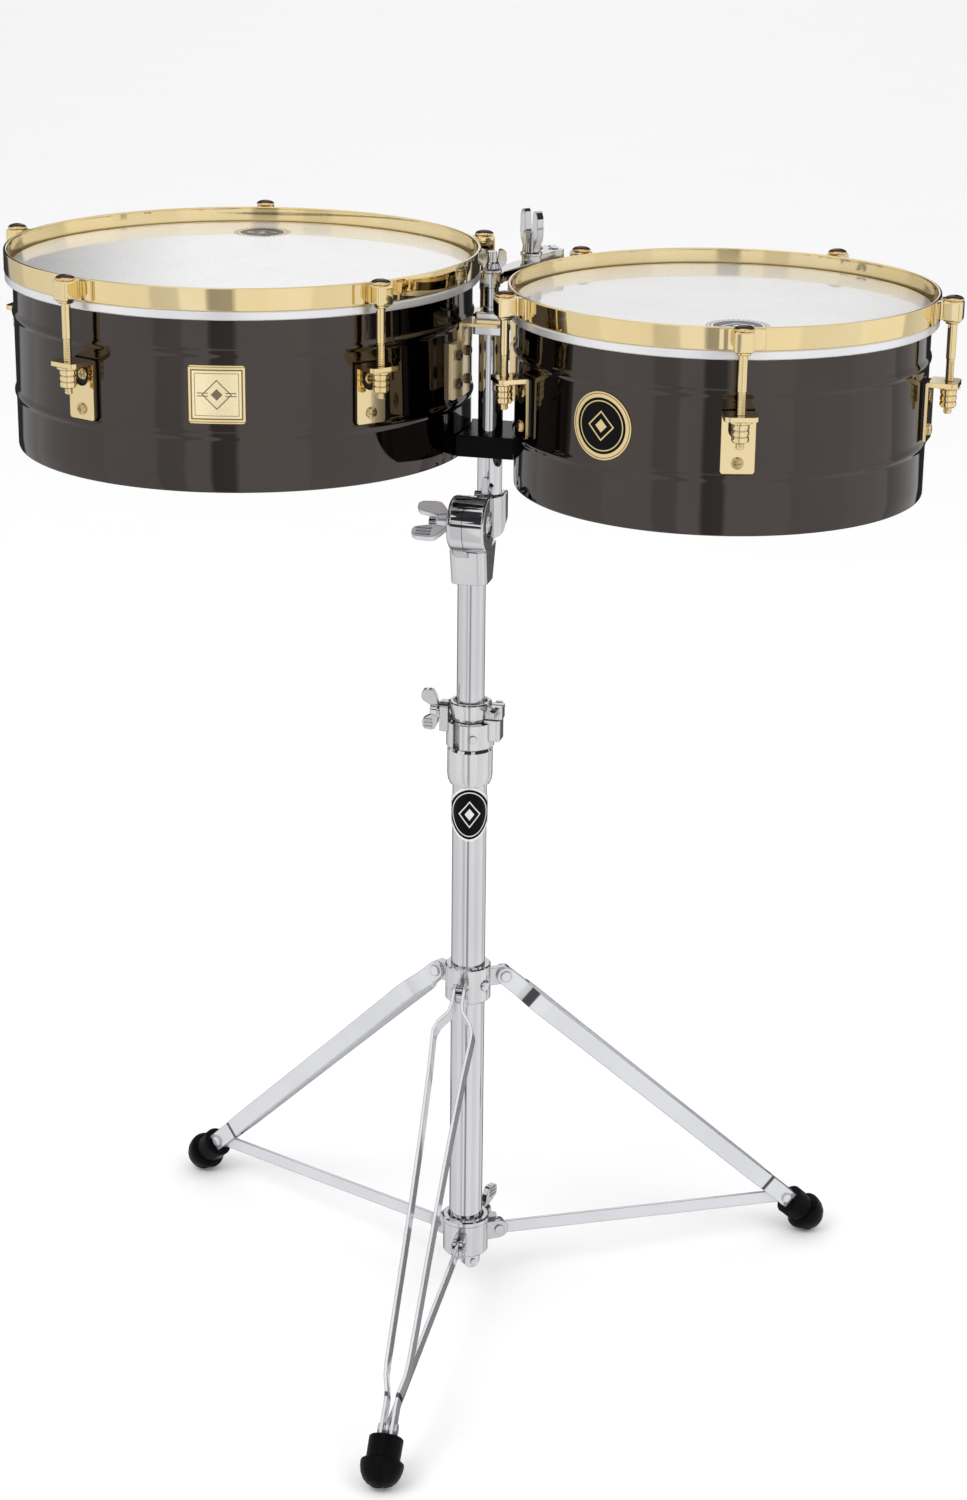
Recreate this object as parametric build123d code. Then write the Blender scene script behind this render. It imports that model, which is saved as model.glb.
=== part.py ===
from build123d import *
from dataclasses import dataclass
import math
import os

# Two steel-shelled drums side by side on a tilting tripod stand, in millimetres.
# Modelling frame: stand tube axis at x = y = 0, floor at z = 0, +X right, -Y front, +Z up.
# Every piece is then shifted so that the footprint's centre on the floor is the origin.
os.makedirs("parts", exist_ok=True)
TO_ORIGIN = Pos(8.241, 76.774, 0)

# Turns that send a part's +Z axis along another axis
AIM_X = Rot(0, 90, 0)
AIM_MINUS_X = Rot(0, -90, 0)
AIM_Y = Rot(-90, 0, 0)
AIM_MINUS_Y = Rot(90, 0, 0)


# ---------------------------------------------------------------- helpers
def save(name, *parts):
    """Write one node: a single solid, or a group of separate solids."""
    solids = []
    for part in parts:
        solids += list((TO_ORIGIN * part).solids())
    for solid in solids:
        solid.label = name
    shape = solids[0] if len(solids) == 1 else Compound(children=solids)
    shape.label = name
    export_step(shape, "parts/" + name + ".step")


def lathe(points):
    """Solid of revolution about Z from (radius, height) points."""
    outline = Polyline(*[(radius, 0, z) for radius, z in points], close=True)
    return revolve(make_face(outline), Axis.Z, 360)


def prism(points, plane, depth):
    """Closed outline on a plane, extruded depth / 2 to each side."""
    return extrude(plane * make_face(Polyline(*points, close=True)), depth / 2, both=True)


def box(x0, x1, y0, y1, z0, z1):
    centre = Pos((x0 + x1) / 2, (y0 + y1) / 2, (z0 + z1) / 2)
    return centre * Box(x1 - x0, y1 - y0, z1 - z0)


def rod_x(x0, x1, y, z, radius):
    return Pos((x0 + x1) / 2, y, z) * AIM_X * Cylinder(radius, x1 - x0)


def rod_y(y0, y1, x, z, radius):
    return Pos(x, (y0 + y1) / 2, z) * AIM_MINUS_Y * Cylinder(radius, y1 - y0)


def rod_z(z0, z1, x, y, radius):
    return Pos(x, y, (z0 + z1) / 2) * Cylinder(radius, z1 - z0)


def turn(azimuth):
    return Rot(0, 0, azimuth)


def hexagon(across_flats, height):
    return extrude(RegularPolygon(across_flats / 2 / math.cos(math.pi / 6), 6), height)


def end_edges(part, axis, end=-1):
    """Edges of the last face along an axis (first face with end=0)."""
    return part.faces().sort_by(axis)[end].edges()


def upright_edges(part):
    return part.edges().filter_by(Axis.Z)


def soften(part, radius, edges):
    """Round the given edges."""
    # Guards fillets the kernel cannot build: the part then stays sharp.
    try:
        out = fillet(edges, radius)
        if out.is_valid and out.volume > 0:
            return out
    except Exception:
        pass
    return part


def largest(part):
    return max(part.solids(), key=lambda solid: solid.volume)


def wing(boss_r, boss_h, span, reach, thick, shaft_r=0.0, shaft_l=0.0, hole_r=0.0):
    """Wing screw or nut along +Z: boss from z = 0, two flared ears, shaft below.
    span is the ears' tip-to-tip size along X, reach the height of their tips."""
    body = lathe([(0, 0), (boss_r + 1.5, 0), (boss_r + 1.5, 2.2), (boss_r, 3.4),
                  (boss_r * 0.86, boss_h - 1.2), (boss_r * 0.7, boss_h), (0, boss_h)])
    half = span / 2
    outline = [
        (1.0, 2.6), (boss_r * 0.85, 2.6), (half * 0.66, reach * 0.20),
        (half - 1.0, reach * 0.36), (half, reach * 0.50), (half - 0.6, reach * 0.88),
        (half - 2.8, reach - 0.4), (half * 0.62, reach), (half * 0.46, reach * 0.94),
        (boss_r * 0.62, boss_h - 1.5), (1.0, boss_h - 1.5)]
    for side in (1, -1):
        ear = prism([(side * x, z) for x, z in outline], Plane.XZ, thick)
        if span >= 30 and side < 0:     # large wings have three ribs on one ear
            for k in range(3):
                rib = Box(1.5, thick + 1.2, reach * 0.40)
                ear = ear + Pos(side * (half - 3.2 - 3.4 * k), 0, reach * 0.68) * rib
        body = body + ear
    if hole_r:
        body = body - Pos(0, 0, boss_h / 2) * Cylinder(hole_r, boss_h * 3)
    if shaft_l:
        body = body + rod_z(-shaft_l, 0, 0, 0, shaft_r)
    return body


# ---------------------------------------------------------------- drums
# Drum parts are drawn at azimuth 0 (along +X), with the rim top at z = 0.
SHELL_DEPTH = 174.2           # rim top to shell bottom
SHELL_T = 1.2
HEAD_DROP = 13.0              # rim top to playing surface
HEAD_T = 0.6
HOOP_H = 19.0
HOOP_IN, HOOP_OUT = 3.8, 7.0  # hoop radii beyond the shell radius
TENSION_R = 4.0               # 5/16 in tension rod
TENSION_OFF = 19.4            # tension rod axis beyond the shell radius
LUGS = 5
LUG_SCREW_HIGH, LUG_SCREW_LOW = -82.0, -111.5
LUG_HALF_W = 14.0
LUG_TOP, LUG_BOTTOM = -68.5, -120.5
LUG_IN, LUG_OUT = 2.0, 4.6    # bracket plate faces beyond the shell radius
BOLT_SPREAD = 3.3             # mount bolts' azimuth either side of the bracket's
SHELL_HOLE_R, BRACKET_HOLE_R, SCREW_R = 2.6, 2.7, 2.4
MOUNT_PLATE_OUT = 4.7
BEADS = (55.0, 125.0)         # pressed beads, depth below rim top
# Bead section: height from the bead's middle, rise beyond the wall
BEAD_SECTION = ((4.8, 0.0), (3.4, 0.45), (1.8, 1.25), (0.0, 1.6),
                (-1.8, 1.25), (-3.4, 0.45), (-4.8, 0.0))


@dataclass
class Drum:
    """One drum: rim top centre, shell radius, azimuths in degrees, heights from the rim top."""
    name: str
    x: float
    z: float
    radius: float
    lug_az: float       # first lug
    mount_az: float     # mount bracket's plate
    tab_az: float       # mount bracket's tab
    badge_az: float
    bolt_z: tuple       # upper and lower mount bolts
    badge_z: float

    def place(self, part, azimuth=0.0):
        return Pos(self.x, 0, self.z) * turn(azimuth) * part

    def lug_azimuths(self):
        return [self.lug_az + 360 / LUGS * k for k in range(LUGS)]

    def mount_bolts(self):
        """(azimuth, height) of the four mount bolts."""
        return [(self.mount_az + side * BOLT_SPREAD, z) for side in (-1, 1) for z in self.bolt_z]


LEFT = Drum("left", x=-210.6, z=1005.4, radius=203.2, lug_az=-113.5, mount_az=-6.5,
            tab_az=-2.8, badge_az=-78.7, bolt_z=(-80.0, -105.0), badge_z=-90.0)
RIGHT = Drum("right", x=219.2, z=992.8, radius=177.8, lug_az=-76.0, mount_az=183.5,
             tab_az=182.5, badge_az=-113.6, bolt_z=(-67.4, -92.4), badge_z=-91.0)


def shell(drum):
    """Steel shell with pressed beads and both edges turned in."""
    radius = drum.radius

    def wall(offset):
        return [(radius + offset + rise, -depth + dz)
                for depth in BEADS for dz, rise in BEAD_SECTION]

    outer = [(radius - 3.5, -13.65), (radius - 0.6, -13.65), (radius, -14.3)] + wall(0)
    outer += [(radius, -SHELL_DEPTH + 1), (radius - 1, -SHELL_DEPTH),
              (radius - 5.5, -SHELL_DEPTH)]
    inner = [(radius - 5.5, -SHELL_DEPTH + 2.6), (radius - SHELL_T, -SHELL_DEPTH + 2.6)]
    inner += wall(-SHELL_T)[::-1] + [(radius - SHELL_T, -16.0), (radius - 3.5, -16.0)]
    body = lathe(outer + inner)
    holes = [(az, z) for az in drum.lug_azimuths() for z in (LUG_SCREW_HIGH, LUG_SCREW_LOW)]
    for az, z in holes + drum.mount_bolts():
        body = body - turn(az) * rod_x(radius - 12, radius + 12, 0, z, SHELL_HOLE_R)
    return body


def hoop(drum):
    """Strap hoop with an ear for each tension rod."""
    radius = drum.radius
    inner, outer = radius + HOOP_IN, radius + HOOP_OUT
    rod_at = radius + TENSION_OFF
    ring = lathe([(inner, -HOOP_H), (outer - 0.4, -HOOP_H), (outer, -HOOP_H + 0.6),
                  (outer, -0.8), (outer - 0.9, 0), (inner + 0.8, 0), (inner, -0.8)])
    ear = box(rod_at - 8.2, rod_at + 8.2, -8.2, 8.2, -19.2, 0.2)
    ear = soften(ear, 3.4, upright_edges(ear))
    # Guards a chamfer the kernel cannot build: the ear's lower edge then stays sharp.
    try:
        ear = chamfer(end_edges(ear, Axis.Z, 0), 3.2)
    except Exception:
        pass
    strap = box(radius + 5.6, radius + 9.2, -13.2, 13.2, -18.4, -0.6)
    strap = soften(strap, 1.4, upright_edges(strap))
    neck = box(radius + 8.0, rod_at - 5, -7.4, 7.4, -15.8, -1.2)
    ear = ear + strap + neck
    ear = ear - Cylinder(inner + 1.0, 80)
    ear = ear - rod_z(-30, 20, rod_at, 0, TENSION_R + 0.3)
    for az in drum.lug_azimuths():
        ring = ring + turn(az) * ear
    return ring


def flesh_hoop(radius):
    """Aluminium collar under the hoop that grips the film."""
    return lathe([(radius + 0.75, -26.9), (radius + 5.4, -26.9), (radius + 6.4, -26.0),
                  (radius + 6.4, -20.2), (radius + 5.6, -19.1), (radius + 0.75, -19.1)])


def drumhead(radius):
    """Film, turned down over the bearing edge."""
    return lathe([
        (0, -HEAD_DROP), (radius - 0.6, -HEAD_DROP), (radius + 0.35, -HEAD_DROP - 0.4),
        (radius + 0.7, -HEAD_DROP - 1.4), (radius + 0.7, -23.0), (radius + 0.15, -23.0),
        (radius + 0.15, -HEAD_DROP - 1.4), (radius - 0.3, -HEAD_DROP - HEAD_T),
        (0, -HEAD_DROP - HEAD_T)])


def tension_rod(radius):
    return Pos(radius + TENSION_OFF, 0, 0) * lathe([
        (0, 4.5), (2.6, 4.3), (4.8, 3.6), (6.6, 2.5), (7.9, 1.2), (8.4, 0.25),
        (TENSION_R, 0.25), (TENSION_R, -49.0), (3.6, -50.0), (3.6, -95.0),
        (3.0, -96.3), (0, -96.3)])


def lug_nut(radius):
    """Flanged nut with three raised rings."""
    points = [(3.7, -72.6), (9.6, -72.6), (9.6, -74.7), (6.4, -74.9)]
    for k in range(3):
        z = -75.2 - 5.1 * k
        points += [(7.0, z - 0.3), (7.3, z - 0.9), (7.3, z - 3.8), (7.0, z - 4.4), (6.2, z - 4.7)]
    points += [(6.0, -91.0), (3.7, -91.0)]
    return Pos(radius + TENSION_OFF, 0, 0) * lathe(points)


def lug_bracket(radius):
    """Angle bracket: a plate on the shell and a shelf for the nut."""
    back = radius + LUG_IN
    plate = box(back, radius + LUG_OUT, -LUG_HALF_W, LUG_HALF_W, LUG_BOTTOM, LUG_TOP)
    plate = soften(plate, 2.5, end_edges(plate, Axis.Z, 0).filter_by(Axis.X))
    shelf = box(back, radius + TENSION_OFF + 9.0, -LUG_HALF_W, LUG_HALF_W, LUG_TOP - 4.0, LUG_TOP)
    shelf = soften(shelf, 5.0, end_edges(shelf, Axis.X).filter_by(Axis.Z))
    body = plate + shelf
    top_back = body.edges().filter_by(Axis.Y).filter_by(
        lambda e: abs(e.center().X - back) < 0.1 and abs(e.center().Z - LUG_TOP) < 0.1)
    body = soften(body, 2.2, top_back)
    body = body - rod_z(-80, -60, radius + TENSION_OFF, 0, 4.1)
    # round-bottomed window around the upper screw
    x0, x1 = radius + 1.0, radius + 5.6
    body = body - box(x0, x1, -8.4, 8.4, -83.5, -75.0) - rod_x(x0, x1, 0, -83.5, 8.4)
    return body - rod_x(radius, radius + 8, 0, LUG_SCREW_LOW, BRACKET_HOLE_R)


def lug_gasket(radius):
    """Pad between bracket and shell."""
    pad = box(radius - 3.0, radius + 1.98, -13.2, 13.2, -118.5, -70.0)
    pad = pad - Cylinder(radius + 0.03, 400)
    for z in (LUG_SCREW_HIGH, LUG_SCREW_LOW):
        pad = pad - rod_x(radius - 4, radius + 4, 0, z, BRACKET_HOLE_R)
    return pad


def lug_screw(radius, head_x, z):
    """Cross-slotted screw with its head seated at head_x."""
    head = AIM_X * lathe([(0, 0), (5.2, 0), (5.0, 1.2), (3.8, 2.3), (0, 2.7)])
    screw = Pos(head_x, 0, z) * head + rod_x(radius - 7.5, head_x, 0, z, SCREW_R)
    x0, x1 = head_x + 1.3, head_x + 4
    return (screw - box(x0, x1, -2.9, 2.9, z - 0.5, z + 0.5)
            - box(x0, x1, -0.5, 0.5, z - 2.9, z + 2.9))


def mount_bolt(radius, z):
    """Hex-socket bolt on the mount bracket."""
    seat = radius + MOUNT_PLATE_OUT + 0.05
    head = AIM_X * lathe([(0, 0), (4.6, 0), (4.6, 2.2), (3.6, 3.4), (0, 3.6)])
    bolt = Pos(seat, 0, z) * head + rod_x(radius - 7.5, seat, 0, z, SCREW_R)
    return bolt - Pos(radius + 6.6, 0, z) * AIM_X * hexagon(3.4, 3)


def badge(drum):
    """Thin curved plate on the shell: rounded square on the left drum, round on the right."""
    radius = drum.radius
    if drum is LEFT:
        blank = extrude(RectangleRounded(49.0, 47.6, 2.5), 30, both=True)
    else:
        blank = Cylinder(28.5, 60)
    blank = Pos(radius, 0, drum.badge_z) * AIM_X * blank
    skin = lathe([(radius + 0.05, -150), (radius + 1.15, -150),
                  (radius + 1.15, -20), (radius + 0.05, -20)])
    return skin & (blank & box(0, radius + 20, -60, 60, -160, 0))


for drum in (LEFT, RIGHT):
    name, radius = drum.name, drum.radius
    save(name + "_shell", drum.place(shell(drum)))
    save(name + "_hoop", drum.place(hoop(drum)))
    save(name + "_flesh_hoop", drum.place(flesh_hoop(radius)))
    save(name + "_drumhead", drum.place(drumhead(radius)))
    for node, part in (("_tension_rods", tension_rod(radius)), ("_lug_nuts", lug_nut(radius)),
                       ("_lug_brackets", lug_bracket(radius)), ("_lug_gaskets", lug_gasket(radius))):
        save(name + node, *[drum.place(part, az) for az in drum.lug_azimuths()])
    screws = []
    for az in drum.lug_azimuths():
        screws.append(drum.place(lug_screw(radius, radius + LUG_OUT + 0.02, LUG_SCREW_LOW), az))
        screws.append(drum.place(lug_screw(radius, radius + LUG_IN, LUG_SCREW_HIGH), az))
    screws += [drum.place(mount_bolt(radius, z), az) for az, z in drum.mount_bolts()]
    save(name + "_shell_screws", *screws)
    save(name + "_badge", drum.place(badge(drum), drum.badge_az))

# ---------------------------------------------------------------- drum mount brackets
MOUNT_X, MOUNT_Y = 17.0, -6.0   # mount rod axis
TAB_Z = 949.0                   # lower face of the left tab; the right tab lies on it
TAB_T = 3.0
TAB_HALF_W = 15.5
SLOT_R = 5.4


def bead_groove(radius):
    """Clearance for the shell's upper bead."""
    z = -BEADS[0]
    return lathe([(0, z - 5.4), (radius + 0.4, z - 5.4), (radius + 1.9, z - 3.2),
                  (radius + 1.9, z + 3.2), (radius + 0.4, z + 5.4), (0, z + 5.4)])


def mount_bracket(drum, tab_z, open_side):
    """Curved plate on the shell and a slotted tab that reaches over the mount rod.
    open_side is the X direction in which the slot runs out of the tab's end."""
    radius = drum.radius
    low, high = drum.bolt_z[1] - 13.0, drum.bolt_z[0] + 11.0
    tab_low = tab_z - drum.z
    tab_high = tab_low + TAB_T
    skin = lathe([(radius + 0.05, -150), (radius + MOUNT_PLATE_OUT, -150),
                  (radius + MOUNT_PLATE_OUT, -20), (radius + 0.05, -20)])
    neck = box(0, radius + 20, -TAB_HALF_W, TAB_HALF_W, high - 1, tab_high)
    blank = box(0, radius + 20, -20.5, 20.5, low, high) + turn(drum.tab_az - drum.mount_az) * neck
    plate = drum.place((skin & blank) - bead_groove(radius), drum.mount_az)

    reach = math.hypot(MOUNT_X - drum.x, MOUNT_Y)
    tab = box(radius + 1.2, reach + 13.0, -TAB_HALF_W, TAB_HALF_W, tab_low, tab_high)
    tab = soften(tab, 4.0, end_edges(tab, Axis.X).filter_by(Axis.Z))
    if -BEADS[0] + 6.5 > tab_low:   # the tab starts beside the bead
        tab = tab - bead_groove(radius)
    tab = drum.place(tab, drum.tab_az)

    # the slot runs along X, the way the drum slides off
    slot_x = sorted((MOUNT_X, MOUNT_X + open_side * 40))
    slot = rod_z(tab_z - 5, tab_z + 10, MOUNT_X, MOUNT_Y, SLOT_R) + box(
        *slot_x, MOUNT_Y - SLOT_R, MOUNT_Y + SLOT_R, tab_z - 5, tab_z + 10)
    bracket = (plate + tab) - slot
    for az, z in drum.mount_bolts():
        hole = rod_x(radius - 5, radius + 12, 0, z, BRACKET_HOLE_R)
        bracket = bracket - drum.place(hole, az)
    return bracket


save("left_mount_bracket", mount_bracket(LEFT, TAB_Z, 1))
save("right_mount_bracket", mount_bracket(RIGHT, TAB_Z + TAB_T + 0.05, -1))

# ---------------------------------------------------------------- mount rod and clamp stack
MOUNT_ROD_R = 11.0              # 22 mm rod
MOUNT_ROD_Z0, MOUNT_ROD_Z1 = 782.0, 942.0
BLOCK_Z = (834.0, 853.0)        # nylon spacer block between the shells
CAP_Z = TAB_Z + 2 * TAB_T + 0.1
CAP_T = 5.5
ARM_Z0, ARM_Z1 = 985.0, 994.0   # accessory arm
STUD_R = 4.2
MOUNT_AXIS = Pos(MOUNT_X, MOUNT_Y, 0)

# rod with a square head under the tabs
head = box(MOUNT_X - 14, MOUNT_X + 14, MOUNT_Y - 14, MOUNT_Y + 16,
           MOUNT_ROD_Z1 - 0.5, TAB_Z - 0.05)
head = soften(head, 3.0, upright_edges(head))
rod = rod_z(MOUNT_ROD_Z0, MOUNT_ROD_Z1, MOUNT_X, MOUNT_Y, MOUNT_ROD_R)
rod = chamfer(end_edges(rod, Axis.Z, 0), 1.5)
save("mount_rod", (rod + head) - rod_z(925, 960, MOUNT_X, MOUNT_Y, STUD_R + 0.1))

# spacer block, hollowed on both sides to the shells
block = box(-22, 60, -28.5, 40, *BLOCK_Z)
for drum in (LEFT, RIGHT):
    block = block - rod_z(740, 940, drum.x, 0, drum.radius + 0.6)
block = largest(block)
block = soften(block, 1.6, end_edges(block, Axis.Z))
save("mount_block", block - rod_z(800, 900, MOUNT_X, MOUNT_Y, MOUNT_ROD_R + 0.02))

# plate over the tabs, stud, and sleeve up to the accessory arm
cap = box(MOUNT_X - 12.5, MOUNT_X + 12.5, MOUNT_Y - 12.5, MOUNT_Y + 13.5, CAP_Z, CAP_Z + CAP_T)
cap = soften(cap, 2.5, upright_edges(cap))
cap = soften(cap, 1.0, end_edges(cap, Axis.Z))
save("mount_cap_plate", cap - rod_z(940, 970, MOUNT_X, MOUNT_Y, STUD_R + 0.2))
save("mount_stud", rod_z(926, 1012, MOUNT_X, MOUNT_Y, STUD_R))
sleeve_z = CAP_Z + CAP_T + 0.05
save("mount_sleeve", MOUNT_AXIS * lathe([
    (4.4, sleeve_z), (7.2, sleeve_z), (7.2, CAP_Z + 9), (6.2, CAP_Z + 9.6),
    (6.2, ARM_Z0 - 4.2), (7.4, ARM_Z0 - 3.4), (7.4, ARM_Z0 - 0.05), (4.4, ARM_Z0 - 0.05)]))
nut = wing(boss_r=7.0, boss_h=9.0, span=25.0, reach=20.0, thick=4.0, hole_r=4.28)
save("mount_wing_nut", Pos(MOUNT_X, MOUNT_Y, ARM_Z1 + 0.1) * turn(25) * nut)

# ---------------------------------------------------------------- accessory arm and bell clamp
BORE_X, BORE_Y = 48.0, 100.0    # bell post bore
BORE_R = 4.8                    # for a 3/8 in (9.5 mm) rod
PIVOT_X, PIVOT_Y = 36.0, 64.0   # bell clamp swivel screw
PINCH_AZ = 118.0                # direction of the clamp's split and pinch ears
PINCH_OFF = 15                  # pinch screw from the bore
SWIVEL_R = 8.6
SWIVEL_HOLE_R = 3.3
CLAMP_Z0, CLAMP_Z1 = ARM_Z0 + 4.6, ARM_Z1 + 4.0

# arm along X from the stud, stepped down at the swivel end, then turned
arm_az = math.degrees(math.atan2(PIVOT_Y - MOUNT_Y, PIVOT_X - MOUNT_X))
arm_len = math.hypot(PIVOT_Y - MOUNT_Y, PIVOT_X - MOUNT_X)
arm = (box(0, arm_len, -8, 8, ARM_Z0, ARM_Z1) + rod_z(ARM_Z0, ARM_Z1, 0, 0, 10)
       + rod_z(ARM_Z0, ARM_Z1, arm_len, 0, SWIVEL_R))
arm = arm - box(arm_len - 9.2, arm_len + 20, -20, 20, ARM_Z0 + 4.5, ARM_Z1 + 1)
arm = arm - rod_z(900, 1100, 0, 0, STUD_R + 0.2) - rod_z(900, 1100, arm_len, 0, SWIVEL_HOLE_R)
save("bell_arm", MOUNT_AXIS * turn(arm_az) * arm)

# clamp along X from the swivel to the split bore, then turned
clamp_az = math.degrees(math.atan2(BORE_Y - PIVOT_Y, BORE_X - PIVOT_X))
clamp_len = math.hypot(BORE_Y - PIVOT_Y, BORE_X - PIVOT_X)
clamp_low = CLAMP_Z0 - 6
pinch_z = (clamp_low + CLAMP_Z1) / 2
AT_CLAMP = Pos(PIVOT_X, PIVOT_Y, 0) * turn(clamp_az)
AT_PINCH = Pos(clamp_len, 0, 0) * turn(PINCH_AZ - clamp_az)
clamp = (rod_z(CLAMP_Z0, CLAMP_Z1, 0, 0, SWIVEL_R)
         + box(0, clamp_len - 6, -6.5, 6.5, CLAMP_Z0, CLAMP_Z1)
         + rod_z(clamp_low, CLAMP_Z1, clamp_len, 0, 9.6)
         + AT_PINCH * box(0, 21, -7.5, 7.5, clamp_low, CLAMP_Z1))
clamp = (clamp - rod_z(900, 1100, 0, 0, SWIVEL_HOLE_R) - rod_z(900, 1100, clamp_len, 0, BORE_R)
         - AT_PINCH * box(0, 30, -0.9, 0.9, CLAMP_Z0 - 10, CLAMP_Z1 + 10))
clamp = clamp - AT_PINCH * rod_y(-20, 20, PINCH_OFF, pinch_z, 3.2)
save("bell_post_clamp", AT_CLAMP * clamp)

screw = wing(boss_r=8.2, boss_h=22.0, span=28.0, reach=40.0, thick=6.4,
             shaft_r=3.2, shaft_l=CLAMP_Z1 - ARM_Z0 + 1)
save("bell_swivel_screw", Pos(PIVOT_X, PIVOT_Y, CLAMP_Z1 + 0.1) * turn(-44) * screw)
screw = wing(boss_r=5.5, boss_h=8.0, span=24.0, reach=15.0, thick=3.6, shaft_r=3.1, shaft_l=20.0)
save("bell_post_screw", AT_CLAMP * AT_PINCH * (Pos(PINCH_OFF, 7.6, pinch_z) * AIM_Y * screw))

# ---------------------------------------------------------------- stand tube sizes
MAIN_R, MAIN_T = 15.875, 1.5    # 1 1/4 in tube
UPPER_R, UPPER_T = 12.7, 1.5    # 1 in tube
MAIN_Z0, MAIN_Z1 = 36.0, 576.0
UPPER_Z0, UPPER_Z1 = 262.0, 738.0

# ---------------------------------------------------------------- tilter
TILT = (-36.0, 775.8)           # y, z of the tilt axis, which runs along X
HUB_R = 25.0
TILT_HOLE_R = 4.1
KEY = (18.5, 804.6)             # x, z of the key screw, which runs along Y

# right half: disc on the tilt axis and a socket for the mount rod
head = rod_x(5.2, 24.2, *TILT, HUB_R)
head = soften(head, 2.0, end_edges(head, Axis.X))
socket = Plane.XY.offset(750) * make_face(Polyline(
    (6, -24), (24.0, -24), (24.0, -19.5), (26.5, -16.0), (29.6, -11.5),
    (30.5, -6), (30.5, 9), (6, 9), close=True))
socket = extrude(socket, 60)
socket = socket & prism([(-24, 757), (-14, 760.5), (-6, 763.8), (9, 772.2),
                         (9, 797.5), (-24, 797.5)], Plane.YZ, 200)
socket = soften(socket, 2.0, end_edges(socket, Axis.Z))
head = (head + socket + rod_y(-25.0, -15.0, *KEY, 4.8)
        + box(14.0, 23.0, -24.0, -17.0, 790.0, KEY[1]) + rod_x(7.0, 18.0, -19.5, 798.6, 3.4))
head = (head - rod_z(781.8, 830, MOUNT_X, MOUNT_Y, MOUNT_ROD_R + 0.04)
        - rod_x(-40, 60, *TILT, TILT_HOLE_R))
head = head - rod_x(20.2, 40, *TILT, 12.0) - rod_y(-40, -5, *KEY, 2.6)
save("tilter_head", largest(head))

# left half: lofted socket on the upper tube, running up into a cheek
base = loft([Pos(0.25, 0.5, 713.5) * RectangleRounded(33.0, 35.0, 8.0),
             Pos(3.25, -10.0, 749.0) * RectangleRounded(33.5, 52.0, 8.0)])
cheek = prism([(-60.9, 774.0), (-35.5, 744), (9, 744), (-11.6, 780)], Plane.YZ, 100)
cheek = cheek & box(-10.0, 5.0, -80, 80, 700, 900)
cheek = cheek + rod_x(-10.0, 5.0, *TILT, HUB_R)
cheek = soften(cheek, 5.0, end_edges(cheek, Axis.X, 0))
base = base + cheek
base = base - rod_x(5.0, 60, *TILT, HUB_R + 1.2)
base = base - rod_z(600, UPPER_Z1 + 0.2, 0, 0, UPPER_R + 0.03) - rod_x(-40, 10, *TILT, TILT_HOLE_R)
save("tilter_base", largest(base))

bolt_head = lathe([(0, 0), (9.0, 0), (9.0, 1.6), (8.2, 2.8), (6.0, 3.8), (0, 4.4)])
save("tilter_bolt", rod_x(-30.0, 20.3, *TILT, 4.0) + Pos(20.3, *TILT) * AIM_X * bolt_head)
nut = wing(boss_r=7.8, boss_h=13.0, span=40.0, reach=33.0, thick=6.0, hole_r=4.06)
save("tilter_wing_nut", Pos(-10.2, *TILT) * AIM_MINUS_X * turn(52) * nut)

# key screw with a flat upright tab in front
key = rod_y(-26.0, -17.6, *KEY, 2.5) + rod_y(-28.6, -25.1, *KEY, 3.3)
key_tab = box(15.7, 21.3, -30.6, -26.4, 801.2, 817.0)
key_tab = soften(key_tab, 2.4, end_edges(key_tab, Axis.Z).filter_by(Axis.Y))
save("tilter_key_screw", key + key_tab)


# ---------------------------------------------------------------- stand post
def tube(z0, z1, radius, thickness):
    return rod_z(z0, z1, 0, 0, radius) - rod_z(z0 - 1, z1 + 1, 0, 0, radius - thickness)


save("upper_tube", tube(UPPER_Z0, UPPER_Z1, UPPER_R, UPPER_T))
save("main_tube", tube(MAIN_Z0, MAIN_Z1, MAIN_R, MAIN_T))

bush_r = MAIN_R - MAIN_T - 0.02
save("clamp_bushing", lathe([
    (UPPER_R + 0.06, 500), (bush_r, 500), (bush_r, MAIN_Z1), (MAIN_R + 0.8, MAIN_Z1 + 0.05),
    (MAIN_R + 0.8, 578.5), (UPPER_R + 0.06, 578.5)]))

# memory lock: ring with split ears to the right and a locating tongue below
LOCK = (24.5, 593)              # x, z of its bolt, which runs along Y
lock = lathe([(0, 582.3), (16.4, 582.3), (17.0, 583.4), (19.4, 596.4), (19.4, 599.2),
              (18.4, 600), (15.6, 600), (13.6, 597.6), (0, 597.6)])
lock = lock + box(8, 31, -8.0, 8.0, 585.5, 597.2)
lock = soften(lock, 3.0, end_edges(lock, Axis.X).filter_by(Axis.Z))
tongue = rod_z(574.5, 583, 0, 0, 20.4) & box(17.9, 30, -4.9, 4.9, 574.5, 583)
lock = lock + tongue + box(15.0, 20.0, -4.9, 4.9, 582.3, 586)
lock = (lock - rod_z(500, 700, 0, 0, UPPER_R + 0.06) - box(10, 40, -1.0, 1.0, 584, 610)
        - rod_y(-20, 20, *LOCK, 3.2))
save("memory_lock", lock)

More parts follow.
